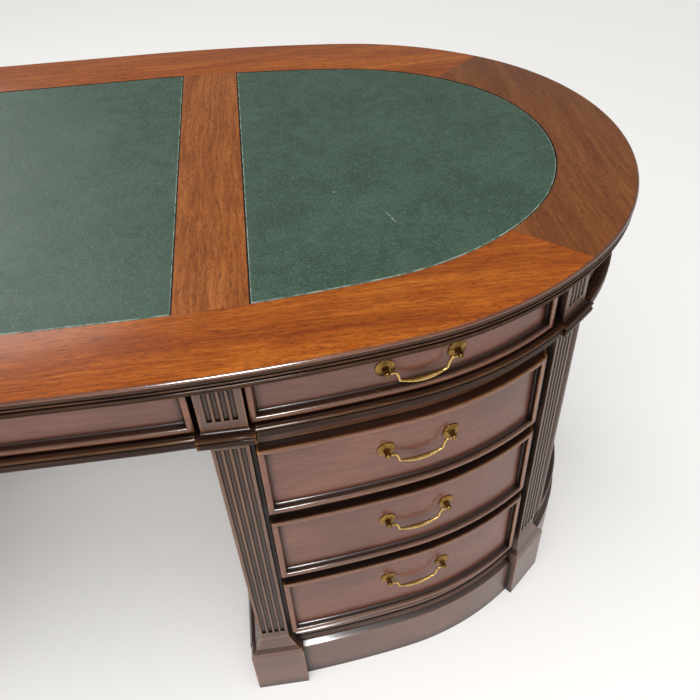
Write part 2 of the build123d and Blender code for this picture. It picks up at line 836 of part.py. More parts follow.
# A framed panel that follows the bow of the right end
def end_panel(bottom, top, back):
    with BuildPart() as panel:
        with BuildSketch(Plane.XY.offset(bottom)):
            draw_oval(frame_front)
            draw_oval(back, mode=Mode.SUBTRACT)
            draw_window(0, desk_length, -end_panel_half, end_panel_half, mode=Mode.INTERSECT)
        extrude(amount=top - bottom)
        with BuildSketch(Plane.XY.offset(bottom + field_margin)):
            draw_oval(frame_front - overrun)
            draw_oval(field_front, mode=Mode.SUBTRACT)
            draw_window(0, desk_length, field_margin - end_panel_half,
                        end_panel_half - field_margin, mode=Mode.INTERSECT)
        extrude(amount=top - bottom - 2 * field_margin, mode=Mode.SUBTRACT)
    return panel.part


# Fixed framed panels that close the ends and the back, in the drawers' style
panel_bottom = plinth_height + 2 * rail_gap
save_pair(end_panel(panel_bottom, upper_drawer_top, carcass_front), "end_panel")

with BuildPart() as frieze_end_panels:
    add(end_panel(frieze_drawer_bottom, frieze_drawer_top, cornice_back))
    mirror(about=Plane.YZ)
save(frieze_end_panels.part, "frieze_end_panels")


def back_panel(left, right, bottom, top, back):
    front = framed_front(left, right, bottom, top, back)
    with BuildPart() as panel:
        mirror(front, about=Plane.XZ)
    return panel.part


save_pair(back_panel(drawer_left, drawer_right, panel_bottom, upper_drawer_top, carcass_front),
          "back_panel")

with BuildPart() as frieze_back_panels:
    add(back_panel(drawer_left, drawer_right, frieze_drawer_bottom, frieze_drawer_top,
                   cornice_back))
    mirror(about=Plane.YZ)
    add(back_panel(-kneehole_drawer_half, kneehole_drawer_half, frieze_drawer_bottom,
                   frieze_drawer_top, cornice_back))
save(frieze_back_panels.part, "frieze_back_panels")
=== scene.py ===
import math

import bpy
from mathutils import Matrix, Vector


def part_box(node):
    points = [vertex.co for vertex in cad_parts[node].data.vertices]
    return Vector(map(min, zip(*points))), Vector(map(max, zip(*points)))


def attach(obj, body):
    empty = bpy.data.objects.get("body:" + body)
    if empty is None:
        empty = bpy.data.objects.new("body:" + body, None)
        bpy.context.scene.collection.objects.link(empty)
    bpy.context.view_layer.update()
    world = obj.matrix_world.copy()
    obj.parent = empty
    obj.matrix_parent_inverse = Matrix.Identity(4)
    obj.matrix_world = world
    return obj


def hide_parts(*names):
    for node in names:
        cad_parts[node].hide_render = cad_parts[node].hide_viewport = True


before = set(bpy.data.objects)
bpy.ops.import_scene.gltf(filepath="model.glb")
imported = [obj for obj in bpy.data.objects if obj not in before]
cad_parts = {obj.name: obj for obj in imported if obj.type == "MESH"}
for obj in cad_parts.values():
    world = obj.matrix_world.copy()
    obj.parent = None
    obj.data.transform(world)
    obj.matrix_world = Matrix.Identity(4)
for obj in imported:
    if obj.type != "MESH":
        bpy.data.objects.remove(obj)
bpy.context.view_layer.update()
print("desk loaded:", len(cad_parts), "pieces")


# One output of a node: sums on it add Math nodes
class Flow:
    def __init__(self, board, socket):
        self.board = board
        self.socket = socket

    def sum(self, operation, first, second=0.0):
        return self.board.node("Math", {"operation": operation}, {0: first, 1: second})

    def __add__(self, other):
        return self.sum("ADD", self, other)

    def __radd__(self, other):
        return self.sum("ADD", other, self)

    def __sub__(self, other):
        return self.sum("SUBTRACT", self, other)

    def __rsub__(self, other):
        return self.sum("SUBTRACT", other, self)

    def __mul__(self, other):
        return self.sum("MULTIPLY", self, other)

    def __rmul__(self, other):
        return self.sum("MULTIPLY", other, self)

    def __pow__(self, other):
        return self.sum("POWER", self, other)


# One material and its nodes
class Finish:
    def __init__(self, name):
        self.material = bpy.data.materials.new(name)
        self.material.use_nodes = True
        self.tree = self.material.node_tree
        self.shader = self.tree.nodes["Principled BSDF"]

    def node(self, kind, settings=None, sockets=None, out=0):
        made = self.tree.nodes.new("ShaderNode" + kind)
        for name, value in (settings or {}).items():
            if name == "stops":
                ramp = made.color_ramp
                while len(ramp.elements) < len(value):
                    ramp.elements.new(0.5)
                for element, (place, colour) in zip(ramp.elements, value):
                    element.position = place
                    element.color = colour
            else:
                setattr(made, name, value)
        for name, value in (sockets or {}).items():
            if isinstance(value, Flow):
                self.tree.links.new(value.socket, made.inputs[name])
            else:
                made.inputs[name].default_value = value
        return Flow(self, made.outputs[out])

    def place(self, turn=(0, 0, 0), scale=(1, 1, 1)):
        here = self.node("TexCoord", out="Object")
        return self.node("Mapping", {}, {"Vector": here, "Rotation": turn, "Scale": scale})

    # the place along the grain, pushed sideways by a slow noise so that the grain wanders
    def grain(self, turn, scale, wander):
        along = self.place(turn=turn)
        drift = self.node("TexNoise", {}, {"Vector": along, "Scale": 5.0, "Detail": 2.0}, out="Color")
        pushed = self.node("VectorMath", {"operation": "MULTIPLY_ADD"},
                           {0: drift, 1: (0, wander, wander), 2: along})
        return self.node("VectorMath", {"operation": "MULTIPLY"}, {0: pushed, 1: scale})

    def noise(self, where, scale, detail=4, rough=0.5, bend=0.0):
        return self.node("TexNoise", {}, {"Vector": where, "Scale": scale, "Detail": detail,
                                          "Roughness": rough, "Distortion": bend})

    def span(self, value, low, high, start=0.0, end=1.0):
        return self.node("MapRange", {"clamp": True}, {"Value": value, "From Min": low,
                                                       "From Max": high, "To Min": start,
                                                       "To Max": end})

    # the middle of a noise stretched between two values
    def between(self, noise, values):
        return self.span(noise, 0.3, 0.7, values[0], values[1])

    def ramp(self, value, *stops):
        return self.node("ValToRGB", {"stops": stops}, {0: value})

    def blend(self, amount, first, second):
        return self.node("Mix", {"data_type": "RGBA"}, {0: amount, 6: first, 7: second}, out=2)

    # 1 deep inside corners and hollows within a reach, 0 on open faces
    def hollow(self, reach, deep, clear, alone):
        shade = self.node("AmbientOcclusion", {"samples": 8, "only_local": alone},
                          {"Distance": reach}, out="AO")
        return self.span(shade, deep, clear, 1.0, 0.0)

    # 1 along sharp outer edges within a reach, 0 away from them
    def arris(self, reach):
        shade = self.node("AmbientOcclusion", {"samples": 6, "inside": True, "only_local": True},
                          {"Distance": reach}, out="AO")
        return self.span(shade, 0.5, 0.95, 1.0, 0.0)

    # follows how far a face looks up, from 0 at low to 1 at high
    def topside(self, low, high):
        facing = self.node("SeparateXYZ", {}, {0: self.node("TexCoord", out="Normal")}, out=2)
        return self.span(facing, low, high)

    # a bump from a height, over edges that catch the light as if they were rounded
    def bump(self, height, strength, depth, rounding=0.0):
        sockets = {"Height": height, "Strength": strength, "Distance": depth}
        if rounding:
            sockets["Normal"] = self.node("Bevel", {"samples": 4}, {"Radius": rounding})
        return self.node("Bump", {}, sockets)

    # how far a point of the top lies from a line between two places
    def awayFrom(self, start, end):
        here = self.node("SeparateXYZ", {}, {0: self.place()})
        across = Flow(self, here.socket.node.outputs[1])
        run = (end[0] - start[0], end[1] - start[1])
        length = math.hypot(*run)
        way = (run[0] / length, run[1] / length)
        fromX, fromY = here - start[0], across - start[1]
        along = self.span(fromX * way[0] + fromY * way[1], 0, length, 0, length)
        offX, offY = fromX - along * way[0], fromY - along * way[1]
        return (offX * offX + offY * offY) ** 0.5

    def set(self, **sockets):
        for name, value in sockets.items():
            socket = self.shader.inputs[name.replace("_", " ")]
            if isinstance(value, Flow):
                self.tree.links.new(value.socket, socket)
            else:
                socket.default_value = value


# A screen colour of 0 to 255 as the light it stands for
def rgb(red, green, blue):
    def light(part):
        part = part / 255
        return part / 12.92 if part <= 0.04045 else ((part + 0.055) / 1.055) ** 2.4
    return (light(red), light(green), light(blue), 1)


# Polished wood of the top: ribbons of colour, fine grain and short dark pores, each scaled along
# and across the grain. Its rounded lip is darker and takes the most polish.
topWood = {
    "ribbons": (1.6, 22, 22),
    "grain": (8, 170, 170),
    "pores": (95, 620, 620),
    "streaks": (20, 330, 330),
    "lines": (1.8, 210, 210),
    "wander": 0.035,
    "lineWander": 0.004,
    "streakShare": 0.55,
    "lineShare": 0.3,
    "poreShare": 0.5,
    "lip": rgb(52, 26, 16),
    "lipFacing": (0.97, 0.8),
    "lipShare": 0.7,
    "roughness": (0.26, 0.36),
    "gloss": 0.3,
    "coat": 0.06,
    "coatRoughness": 0.14,
}
topTints = {
    "rail": {"pale": rgb(172, 96, 26), "middle": rgb(143, 70, 14), "deep": rgb(112, 48, 8),
             "fleck": rgb(70, 28, 6)},
    "strap": {"pale": rgb(164, 98, 44), "middle": rgb(136, 74, 28), "deep": rgb(98, 48, 16),
              "fleck": rgb(62, 28, 10)},
    "end": {"pale": rgb(128, 78, 38), "middle": rgb(110, 62, 27), "deep": rgb(94, 48, 20),
            "fleck": rgb(66, 32, 14)},
}
polish = {
    "coatIndex": 2.2,
    "rounding": 0.0008,
    "bump": 0.08,
    "bumpDepth": 0.0003,
}


def makeTopWood(name, turn, tint):
    finish = Finish(name)
    tones = topTints[tint]
    wander = topWood["wander"]
    ribbons = finish.noise(finish.grain(turn, topWood["ribbons"], wander), 1.0, 5, 0.6, 0.6)
    grain = finish.noise(finish.grain(turn, topWood["grain"], wander), 1.0, 5, 0.7, 0.3)
    short = finish.noise(finish.grain(turn, topWood["pores"], wander), 1.0, 2, 0.5)
    streaks = finish.noise(finish.grain(turn, topWood["streaks"], wander), 1.0, 4, 0.65)
    lines = finish.noise(finish.grain(turn, topWood["lines"], topWood["lineWander"]), 1.0, 2, 0.5)
    colour = finish.ramp(ribbons * 0.5 + grain * 0.5, (0.36, tones["deep"]),
                         (0.5, tones["middle"]), (0.64, tones["pale"]))
    streaks = finish.span(streaks, 0.5, 0.68, 0.0, topWood["streakShare"])
    colour = finish.blend(streaks, colour, tones["deep"])
    lines = finish.span(lines, 0.62, 0.7, 0.0, topWood["lineShare"])
    colour = finish.blend(lines, colour, tones["pale"])
    pores = finish.span(short, 0.52, 0.66, 0.0, topWood["poreShare"])
    colour = finish.blend(pores, colour, tones["fleck"])
    lip = finish.topside(*topWood["lipFacing"])
    colour = finish.blend(lip * topWood["lipShare"], colour, topWood["lip"])
    finish.set(Base_Color=colour, Roughness=finish.between(grain, topWood["roughness"]),
               Normal=finish.bump(1 - pores, polish["bump"], polish["bumpDepth"], polish["rounding"]),
               Specular_IOR_Level=topWood["gloss"],
               Coat_Weight=lip * (1 - topWood["coat"]) + topWood["coat"],
               Coat_Roughness=topWood["coatRoughness"], Coat_IOR=polish["coatIndex"])
    return finish.material


# Dark polished wood of the frame: painted shade, with some dirt, darkens its hollows and the places
# under and between parts, and edges are rubbed pale.
# Each tint sets how much of that darkening it takes, how much painted shade darkens its faces that look
# up, and how much glossier those are.
frameTints = {
    "field": {"pale": rgb(128, 82, 62), "middle": rgb(104, 62, 47), "deep": rgb(76, 44, 34),
              "gloss": 0.4, "coat": 0.16, "shadedCrown": 0.9, "shine": 0.5, "darkening": 0.95, "wear": 1.0},
    "plinth": {"pale": rgb(122, 84, 70), "middle": rgb(98, 66, 55), "deep": rgb(74, 48, 40),
               "gloss": 0.46, "coat": 0.17, "shadedCrown": 0.9, "shine": 0.7, "darkening": 0.95, "wear": 0.4},
    "side": {"pale": rgb(96, 62, 48), "middle": rgb(76, 46, 35), "deep": rgb(54, 31, 24),
             "gloss": 0.26, "coat": 0.12, "shadedCrown": 0.8, "shine": 0.5, "darkening": 0.95, "wear": 0.5},
    "pier": {"pale": rgb(112, 84, 72), "middle": rgb(88, 64, 54), "deep": rgb(62, 43, 36),
             "gloss": 0.3, "coat": 0.12, "shadedCrown": 0.7, "shine": 0.4, "darkening": 1.0, "wear": 0.3},
    "moulding": {"pale": rgb(66, 38, 28), "middle": rgb(42, 24, 18), "deep": rgb(26, 15, 11),
                 "gloss": 0.08, "coat": 0.05, "shadedCrown": 0.3, "shine": 0.16, "darkening": 0.9, "wear": 0.25},
}
frameWood = {
    "ribbons": (2.2, 16, 16),
    "grain": (12, 280, 280),
    "wander": 0.02,
    "clouds": 7.0,
    "cloudShare": 0.5,
    "shadeAndDirt": rgb(9, 5, 4),
    "shadedCrown": rgb(38, 19, 12),
    "crownFacing": (0.2, 0.7),
    "rubbed": rgb(176, 120, 66),
    "farReach": 0.032,
    "nearReach": 0.010,
    "edgeReach": 0.0045,
    "roughness": (0.28, 0.4),
    "coatRoughness": 0.12,
}


def makeFrameWood(name, turn, tint):
    finish = Finish(name)
    tones = frameTints[tint]
    wander = frameWood["wander"]
    ribbons = finish.noise(finish.grain(turn, frameWood["ribbons"], wander), 1.0, 5, 0.6, 0.6)
    grain = finish.noise(finish.grain(turn, frameWood["grain"], wander), 1.0, 4, 0.6, 0.2)
    clouds = finish.noise(finish.place(), frameWood["clouds"], 4, 0.55)
    colour = finish.ramp(ribbons * 0.55 + grain * 0.45, (0.32, tones["deep"]),
                         (0.5, tones["middle"]), (0.72, tones["pale"]))
    stain = finish.span(clouds, 0.42, 0.68, 0.0, frameWood["cloudShare"])
    colour = finish.blend(stain, colour, tones["deep"])
    # Painted shade: faces that look up are darkened in colour as if little light reached them; the same
    # mask also makes them glossier
    shadedCrown = finish.topside(*frameWood["crownFacing"])
    colour = finish.blend(shadedCrown * tones["shadedCrown"], colour, frameWood["shadedCrown"])
    rubbed = finish.arris(frameWood["edgeReach"]) * finish.span(clouds + grain, 0.8, 1.15, 0.3, 1.0)
    colour = finish.blend(rubbed * tones["wear"], colour, frameWood["rubbed"])
    # Painted shade with some dirt: far darkens where other parts stand close, as under the top and
    # between drawers; near darkens the piece's own hollows and flutes
    far = finish.hollow(frameWood["farReach"], 0.4, 0.88, False)
    near = finish.hollow(frameWood["nearReach"], 0.6, 0.95, True)
    shade = (1 - (1 - far) * (1 - near)) * tones["darkening"]
    colour = finish.blend(shade, colour, frameWood["shadeAndDirt"])
    finish.set(Base_Color=colour, Roughness=finish.between(ribbons, frameWood["roughness"]),
               Normal=finish.bump(grain, polish["bump"], polish["bumpDepth"], polish["rounding"]),
               Specular_IOR_Level=tones["gloss"],
               Coat_Weight=(1 - shade) * (shadedCrown * tones["shine"] + tones["coat"]),
               Coat_Roughness=frameWood["coatRoughness"], Coat_IOR=polish["coatIndex"])
    return finish.material


# Pale unpolished wood of the drawers' insides
drawerWood = {
    "ribbons": (3, 24, 24),
    "grain": (14, 320, 320),
    "wander": 0.02,
    "deep": rgb(150, 112, 74),
    "middle": rgb(190, 152, 106),
    "pale": rgb(214, 182, 138),
    "roughness": (0.5, 0.68),
    "bump": 0.15,
    "bumpDepth": 0.0003,
}


def makeDrawerWood(name, turn):
    finish = Finish(name)
    wander = drawerWood["wander"]
    ribbons = finish.noise(finish.grain(turn, drawerWood["ribbons"], wander), 1.0, 4, 0.6, 0.5)
    grain = finish.noise(finish.grain(turn, drawerWood["grain"], wander), 1.0, 3, 0.6, 0.1)
    colour = finish.ramp(ribbons * 0.6 + grain * 0.4, (0.3, drawerWood["deep"]),
                         (0.55, drawerWood["middle"]), (0.8, drawerWood["pale"]))
    finish.set(Base_Color=colour, Roughness=finish.between(grain, drawerWood["roughness"]),
               Normal=finish.bump(grain, drawerWood["bump"], drawerWood["bumpDepth"]))
    return finish.material


# Leather: mottled green skin with a fine grain and a few scratches (start, end, width)
leather = {
    "green": rgb(60, 82, 68),
    "dark": rgb(45, 64, 53),
    "grey": rgb(84, 104, 90),
    "scratch": rgb(150, 160, 148),
    "scratches": [((0.5999, -0.157), (0.611, -0.1886), 0.0011),
                  ((0.5372, -0.0985), (0.5402, -0.0993), 0.0012)],
    "scratchShare": 0.8,
    "clouds": 9.0,
    "patches": 42.0,
    "grain": 330.0,
    "pebbles": 420.0,
    "rubs": 60.0,
    "roughness": (0.42, 0.54),
    "gloss": 0.45,
    "bump": 0.45,
    "bumpDepth": 0.0005,
}


def makeLeather(name, worn):
    finish = Finish(name)
    here = finish.place()
    clouds = finish.noise(here, leather["clouds"], 5, 0.6, 0.4)
    patches = finish.noise(here, leather["patches"], 4, 0.6, 0.3)
    grain = finish.noise(here, leather["grain"], 3, 0.6, 0.2)
    pebbles = finish.node("TexVoronoi", {"feature": "F1"}, {"Vector": here, "Scale": leather["pebbles"]})
    colour = finish.ramp(clouds * 0.5 + patches * 0.5, (0.36, leather["dark"]),
                         (0.62, leather["green"]))
    colour = finish.blend(finish.span(grain, 0.5, 0.68, 0.0, 0.55), colour, leather["grey"])
    colour = finish.blend(finish.span(grain, 0.5, 0.34, 0.0, 0.5), colour, leather["dark"])
    for start, end, width in leather["scratches"]:
        mark = finish.span(finish.awayFrom(start, end), width, width / 2)
        broken = finish.span(grain, 0.4, 0.55)
        colour = finish.blend(mark * broken * leather["scratchShare"], colour, leather["scratch"])
    if worn:
        rub = finish.span(finish.noise(here, leather["rubs"], 4, 0.7), 0.4, 0.6, 0.15, 0.85)
        colour = finish.blend(rub, colour, leather["scratch"])
    height = pebbles * 0.6 + grain * 0.8
    finish.set(Base_Color=colour, Roughness=finish.between(patches, leather["roughness"]),
               Normal=finish.bump(height, leather["bump"], leather["bumpDepth"]),
               Specular_IOR_Level=leather["gloss"])
    return finish.material


# The gap round the leather, coloured near-black as painted shade, with dust in it
seam = {
    "dark": rgb(14, 12, 10),
    "dusty": rgb(44, 38, 28),
    "dust": 180.0,
    "roughness": (0.6, 0.8),
}


def makeSeam(name):
    finish = Finish(name)
    dust = finish.noise(finish.place(), seam["dust"], 3, 0.6)
    colour = finish.blend(finish.span(dust, 0.45, 0.7), seam["dark"], seam["dusty"])
    finish.set(Base_Color=colour, Roughness=finish.between(dust, seam["roughness"]))
    return finish.material


# Aged brass: plates are dull with dark hollows, bars are rubbed bright
brass = {
    "bar": {"bright": rgb(228, 194, 122), "gold": rgb(188, 148, 80), "darkening": 0.3},
    "plate": {"bright": rgb(170, 134, 74), "gold": rgb(108, 78, 38), "darkening": 0.9},
    "tarnish": rgb(34, 20, 10),
    "tarnishReach": 0.006,
    "tarnishRough": 0.2,
    "patches": 110.0,
    "specks": 700.0,
    "brushing": (60, 1500, 1500),
    "roughness": (0.22, 0.36),
    "rounding": 0.0004,
    "bump": 0.12,
    "bumpDepth": 0.0001,
}


def makeBrass(name, tint):
    finish = Finish(name)
    tones = brass[tint]
    here = finish.place()
    patches = finish.noise(here, brass["patches"], 4, 0.6, 0.2)
    specks = finish.noise(here, brass["specks"], 3, 0.6)
    brushing = finish.noise(finish.place(scale=brass["brushing"]), 1.0, 2, 0.5)
    colour = finish.ramp(patches * 0.6 + specks * 0.4, (0.35, tones["gold"]), (0.65, tones["bright"]))
    tarnish = finish.hollow(brass["tarnishReach"], 0.4, 0.95, True)
    colour = finish.blend(tarnish * tones["darkening"], colour, brass["tarnish"])
    roughness = finish.between(patches, brass["roughness"]) + tarnish * brass["tarnishRough"]
    finish.set(Base_Color=colour, Metallic=1.0, Roughness=roughness,
               Normal=finish.bump(brushing, brass["bump"], brass["bumpDepth"], brass["rounding"]))
    return finish.material


grainTurns = {
    "along": (0, 0, 0),
    "across": (0, 0, math.pi / 2),
    "upright": (0, math.pi / 2, 0),
}
finishes = {
    "topRail": makeTopWood("top rail wood", grainTurns["along"], "rail"),
    "topStrap": makeTopWood("top strap wood", grainTurns["across"], "strap"),
    "topEnd": makeTopWood("top end wood", grainTurns["across"], "end"),
    "front": makeFrameWood("drawer front wood", grainTurns["along"], "field"),
    "side": makeFrameWood("end panel wood", grainTurns["upright"], "side"),
    "pier": makeFrameWood("pilaster wood", grainTurns["upright"], "pier"),
    "plinth": makeFrameWood("plinth wood", grainTurns["along"], "plinth"),
    "moulding": makeFrameWood("moulding wood", grainTurns["along"], "moulding"),
    "drawer": makeDrawerWood("drawer wood", grainTurns["along"]),
    "leather": makeLeather("desk leather", False),
    "leatherEdge": makeLeather("worn leather edge", True),
    "seam": makeSeam("seam shade"),
    "bar": makeBrass("rubbed brass", "bar"),
    "plate": makeBrass("aged brass", "plate"),
}
print("finishes made:", len(finishes))

# The finish of a node by the end of its name, and last the finish of every other node
nodeFinishes = {
    "long_borders": "topRail",
    "border_ends": "topEnd",
    "cross_straps": "topStrap",
    "_bail": "bar",
    "_posts": "plate",
    "_box": "drawer",
    "pilasters": "pier",
    "frieze_blocks": "pier",
    "_plinth": "plinth",
    "_carcass": "side",
    "edge_moulding": "moulding",
    "frieze_cornice": "moulding",
    "frieze_caps": "moulding",
    "top_board": "moulding",
    "": "front",
}
for name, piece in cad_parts.items():
    ending = next(ending for ending in nodeFinishes if name.endswith(ending))
    for slot in piece.material_slots:
        slot.material = finishes[nodeFinishes[ending]]
print("finishes given")

# Edit mode selects faces, also on a new primitive
bpy.context.tool_settings.mesh_select_mode = (False, False, True)


def choose(*pieces):
    bpy.ops.object.select_all(action="DESELECT")
    for piece in pieces:
        piece.select_set(True)
    bpy.context.view_layer.objects.active = pieces[0]


# The plan of the desk, as the arcs of a quarter: a straight run, a front, a shoulder and an end arc
plan = {
    "straightShare": 0.253535,
    "frontAngle": math.radians(9.15),
    "shoulderAngle": math.radians(41.0),
    "endRadiusShare": 0.8916,
    "frameInset": 0.024,
}
halfLength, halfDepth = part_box("edge_moulding")[1].xy
straightHalf = plan["straightShare"] * halfLength
endRadius = plan["endRadiusShare"] * halfDepth


def planArcs():
    first, second = plan["frontAngle"], plan["shoulderAngle"]
    along = halfLength - straightHalf - endRadius * (1 - math.sin(second))
    across = halfDepth - endRadius * math.cos(second)
    turns = Matrix(((math.sin(first), math.sin(second) - math.sin(first)),
                    (1 - math.cos(first), math.cos(first) - math.cos(second))))
    frontRadius, shoulderRadius = turns.inverted() @ Vector((along, across))
    frontCentre = (straightHalf, frontRadius - halfDepth)
    step = frontRadius - shoulderRadius
    shoulderCentre = (frontCentre[0] + step * math.sin(first), frontCentre[1] - step * math.cos(first))
    return ((first, frontCentre, frontRadius), (second, shoulderCentre, shoulderRadius),
            (math.pi / 2, (halfLength - endRadius, 0), endRadius))


arcs = planArcs()


# The runs of the arcs of a quarter along the outline, after its straight run
def arcRuns():
    runs, first = [], 0
    for last, centre, radius in arcs:
        runs.append(radius * (last - first))
        first = last
    return runs


quarterRun = straightHalf + sum(arcRuns())


# The plan at one run along the outline, from the middle of the front to the right and all round
def ovalPoint(run, inset):
    run = run % (4 * quarterRun)
    side = 1 if run <= 2 * quarterRun else -1
    run = run if side > 0 else 4 * quarterRun - run
    face = -1 if run <= quarterRun else 1
    run = run if face < 0 else 2 * quarterRun - run
    if run <= straightHalf:
        return (side * run, face * (halfDepth - inset))
    run, first = run - straightHalf, 0
    for (last, centre, radius), length in zip(arcs, arcRuns()):
        if run <= length or last == arcs[-1][0]:
            break
        run, first = run - length, last
    angle = first + run / radius
    x = centre[0] + (radius - inset) * math.sin(angle)
    y = centre[1] - (radius - inset) * math.cos(angle)
    return (side * x, -face * y)


# Y of the front, an inset behind the outline
def frontY(x, inset):
    x = abs(x)
    if x <= straightHalf:
        return inset - halfDepth
    for last, centre, radius in arcs:
        if x <= centre[0] + (radius - inset) * math.sin(last):
            break
    return centre[1] - math.sqrt((radius - inset) ** 2 - (x - centre[0]) ** 2)


# How far out the round end lies, an inset behind the outline
def endX(y, inset):
    return halfLength - endRadius + math.sqrt((endRadius - inset) ** 2 - y * y)


# A primitive with nothing else selected
def startPiece(name, shape, **facts):
    bpy.ops.object.select_all(action="DESELECT")
    shape(**facts)
    piece = bpy.context.object
    piece.name = name
    return piece


# Turns a shaped piece's faces outward and gives it its finish, slot and body
def closePiece(piece, finish, body, smooth):
    choose(piece)
    bpy.ops.object.mode_set(mode="EDIT")
    bpy.ops.mesh.select_all(action="SELECT")
    bpy.ops.mesh.normals_make_consistent(inside=False)
    bpy.ops.object.mode_set(mode="OBJECT")
    piece.data.materials.append(finishes[finish])
    bpy.ops.object.shade_smooth_by_angle(angle=math.radians(smooth))
    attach(piece, body)


# Cuts a piece across at even steps, so that it can be bent or shaped between them
def slicePiece(first, last, count, across):
    for cut in range(1, count):
        bpy.ops.mesh.select_all(action="SELECT")
        place = first + (last - first) * cut / count
        bpy.ops.mesh.bisect(plane_co=[place * part for part in across], plane_no=across)


# Framed fronts and panels: the frame's rounded face and steep inner side as (run, depth) steps,
# how far in their backs lie, and how far in the faces of the end panels lie
framed = {
    "steps": [(0.0, 0.0030), (0.0006, 0.0012), (0.0020, 0.0002), (0.0040, 0.0), (0.0064, 0.0003),
              (0.0080, 0.0013), (0.0088, 0.0028), (0.0094, 0.0060), (0.0102, 0.0086),
              (0.0116, 0.0100)],
    "drawerBack": 0.052,
    "panelBack": 0.040,
    "friezeBack": 0.044,
    "endInset": 0.029,
    "endBack": 0.048,
    "friezeEndInset": 0.032,
    "friezeEndBack": 0.051,
    "slice": 0.0145,
    "smooth": 32,
}


# A straight board's point brought to each side of the plan
def bendFront(point):
    return (point.x, frontY(point.x, point.y), point.z)


def bendBack(point):
    return (point.x, -frontY(point.x, point.y), point.z)


def bendRightEnd(point):
    return (endX(point.x, point.y), point.x, point.z)


def bendLeftEnd(point):
    return (-endX(point.x, point.y), -point.x, point.z)


# A board between two places and heights, its face an inset behind the plan's outline
def makeBoard(name, run, height, inset, steps, bend):
    (left, right), (bottom, top), (front, back) = run, height, inset
    piece = startPiece(name, bpy.ops.mesh.primitive_cube_add, size=1)
    front += steps[0][1] if steps else 0
    piece.scale = (right - left, back - front, top - bottom)
    piece.location = ((left + right) / 2, (back + front) / 2, (bottom + top) / 2)
    bpy.ops.object.transform_apply(location=True, rotation=True, scale=True)
    for face in piece.data.polygons:
        face.select = face.normal.y < -0.9
    bpy.ops.object.mode_set(mode="EDIT")
    for (oldRun, oldDepth), (newRun, newDepth) in zip(steps, steps[1:]):
        bpy.ops.mesh.inset(thickness=newRun - oldRun, depth=oldDepth - newDepth)
    slicePiece(left, right, round((right - left) / framed["slice"]), (1, 0, 0))
    bpy.ops.object.mode_set(mode="OBJECT")
    for vertex in piece.data.vertices:
        vertex.co = bend(vertex.co)
    return piece


def makeFramed(name, body, finish, run, height, inset, bend, node):
    piece = makeBoard(name, run, height, inset, framed["steps"], bend)
    closePiece(piece, finish, body, framed["smooth"])
    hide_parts(node)


drawers = ["kneehole_drawer"]
for side in ("left_", "right_"):
    drawers += [side + "frieze_drawer"] + [side + "drawer_" + str(number) for number in (1, 2, 3)]
for drawer in drawers:
    low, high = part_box(drawer + "_front")
    makeFramed(drawer + "_moulded_front", drawer, "front", (low.x, high.x), (low.z, high.z),
               (plan["frameInset"], framed["drawerBack"]), bendFront, drawer + "_front")
print("drawer fronts made:", len(drawers))

for side, bendEnd in (("left", bendLeftEnd), ("right", bendRightEnd)):
    low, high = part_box(side + "_back_panel")
    makeFramed(side + "_back_framing", "desk", "front", (low.x, high.x), (low.z, high.z),
               (plan["frameInset"], framed["panelBack"]), bendBack, side + "_back_panel")
    low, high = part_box(side + "_end_panel")
    makeFramed(side + "_end_framing", "desk", "side", (low.y, high.y), (low.z, high.z),
               (framed["endInset"], framed["endBack"]), bendEnd, side + "_end_panel")
    low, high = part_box("frieze_end_panels")
    makeFramed(side + "_frieze_end_framing", "desk", "side", (low.y, high.y), (low.z, high.z),
               (framed["friezeEndInset"], framed["friezeEndBack"]), bendEnd, "frieze_end_panels")
for drawer in ("kneehole_drawer", "left_frieze_drawer", "right_frieze_drawer"):
    low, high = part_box(drawer + "_front")
    makeFramed(drawer.replace("drawer", "back_framing"), "desk", "front", (low.x, high.x),
               (low.z, high.z), (plan["frameInset"], framed["friezeBack"]), bendBack,
               "frieze_back_panels")
print("panels made")

# Bowed faces of the rails between and above the drawers
railFaces = {
    "front": 0.0395,
    "back": 0.060,
    "sideGap": 0.0015,
    "gap": 0.001,
}


def makeRails(side):
    spans = [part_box(side + "_drawer_" + str(number) + "_front") for number in (3, 2, 1)]
    left, right = spans[0][0].x - railFaces["sideGap"], spans[0][1].x + railFaces["sideGap"]
    tops = [low.z for low, high in spans[1:]] + [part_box("frieze_carcass")[0].z]
    for number, ((low, high), top) in enumerate(zip(spans, tops)):
        rail = makeBoard(side + "_rail_face_" + str(number + 1), (left, right),
                         (high.z + railFaces["gap"], top - railFaces["gap"]),
                         (railFaces["front"], railFaces["back"]), [], bendFront)
        closePiece(rail, "front", "desk", framed["smooth"])


makeRails("left")
makeRails("right")
print("rails faced")

# Caps over the pilasters: a round band, a quirk, a nose and a hollow up to the fluted block,
# as (height, half width, inset) of each level
caps = {
    "levels": [(0.0, 0.0338, 0.0142), (0.0012, 0.0354, 0.0126), (0.0032, 0.0360, 0.0120),
               (0.0062, 0.0360, 0.0120), (0.0086, 0.0353, 0.0127), (0.0098, 0.0338, 0.0142),
               (0.0101, 0.0322, 0.0158), (0.0112, 0.0322, 0.0158), (0.0114, 0.0342, 0.0138),
               (0.0124, 0.0355, 0.0125), (0.0139, 0.0360, 0.0120), (0.0154, 0.0358, 0.0122),
               (0.0166, 0.0350, 0.0131), (0.0171, 0.0336, 0.0148), (0.0174, 0.0318, 0.0172),
               (0.0182, 0.0302, 0.0198), (0.0198, 0.0291, 0.0218), (0.0220, 0.0285, 0.0230),
               (0.0240, 0.02825, 0.0235)],
    "back": 0.046,
    "smooth": 38,
}
piers = {
    "place": 0.3656,
    "angle": math.radians(41.6),
}


# A place by a pier: along its face and inward from the outline
def pierPoint(outer, along, inset):
    if not outer:
        return (piers["place"] + along, inset - halfDepth)
    angle = piers["angle"]
    x = halfLength - endRadius + (endRadius - inset) * math.sin(angle) + along * math.cos(angle)
    y = -(endRadius - inset) * math.cos(angle) + along * math.sin(angle)
    return (x, y)


